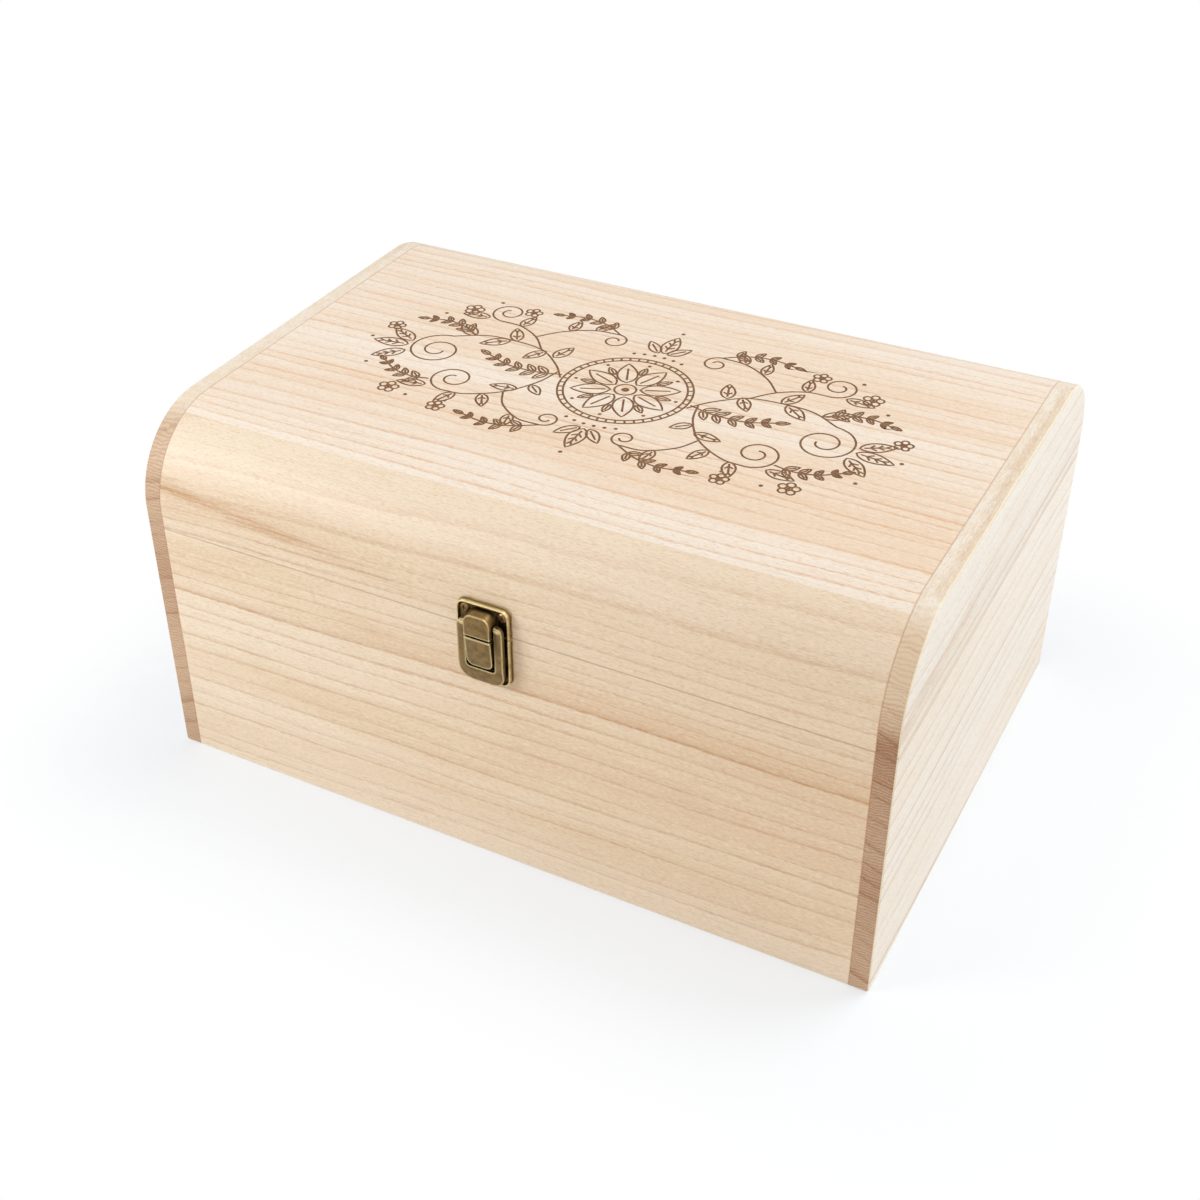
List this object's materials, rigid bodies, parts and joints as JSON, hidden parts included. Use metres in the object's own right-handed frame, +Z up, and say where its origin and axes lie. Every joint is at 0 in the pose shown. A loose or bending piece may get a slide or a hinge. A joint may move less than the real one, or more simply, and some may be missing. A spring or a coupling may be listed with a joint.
{
  "type": "keepsake box",
  "caption": "Wooden keepsake box with a rounded hinged lid, an engraved top and a brass ring hasp on the front.",
  "frame": {"origin": "centre of the box's underside, which lies on the surface that the box stands on", "axes": "+X along the width, to the right as seen from the front; the front with the hasp faces -Y; +Z up"},
  "size_m": [0.28, 0.2134, 0.14],
  "materials": {
    "paulownia_board": "sanded bare",
    "paulownia_end": "sanded bare",
    "engraved_top": "sanded bare, burnt engraving",
    "antique_brass": "antiqued",
    "pin_brass": "antiqued",
    "screw_brass": "antiqued"
  },
  "bodies": {
    "base": {"base_left_end": "paulownia_end", "base_right_end": "paulownia_end", "base_front_board": "paulownia_board", "base_back_board": "paulownia_board", "base_bottom_panel": "paulownia_board", "hasp_base_plate": "antique_brass", "hasp_keeper": "antique_brass", "hasp_base_screws": "screw_brass", "left_hinge_base_leaf": "antique_brass", "right_hinge_base_leaf": "antique_brass", "left_hinge_pin": "pin_brass", "right_hinge_pin": "pin_brass", "hinge_base_screws": "screw_brass"},
    "lid": {"lid_left_end": "paulownia_end", "lid_right_end": "paulownia_end", "lid_top_board": "engraved_top", "lid_front_rail": "paulownia_board", "lid_back_rail": "paulownia_board", "hasp_catch_plate": "antique_brass", "hasp_hood": "antique_brass", "hasp_pin": "pin_brass", "hasp_catch_screws": "screw_brass", "left_hinge_lid_leaf": "antique_brass", "right_hinge_lid_leaf": "antique_brass", "hinge_lid_screws": "screw_brass"},
    "hasp": {"hasp_ring": "antique_brass", "hasp_tongue": "antique_brass"}
  },
  "joints": [
    {"name": "lid_hinge", "type": "hinge", "parent": "base", "child": "lid", "pos_m": [0, 0.1017, 0.1], "axis": [-1, 0, 0], "range_deg": [0, 100]},
    {"name": "hasp_hinge", "type": "hinge", "parent": "lid", "child": "hasp", "pos_m": [0, -0.1038, 0.104], "axis": [-1, 0, 0], "range_deg": [0, 105]}
  ]
}
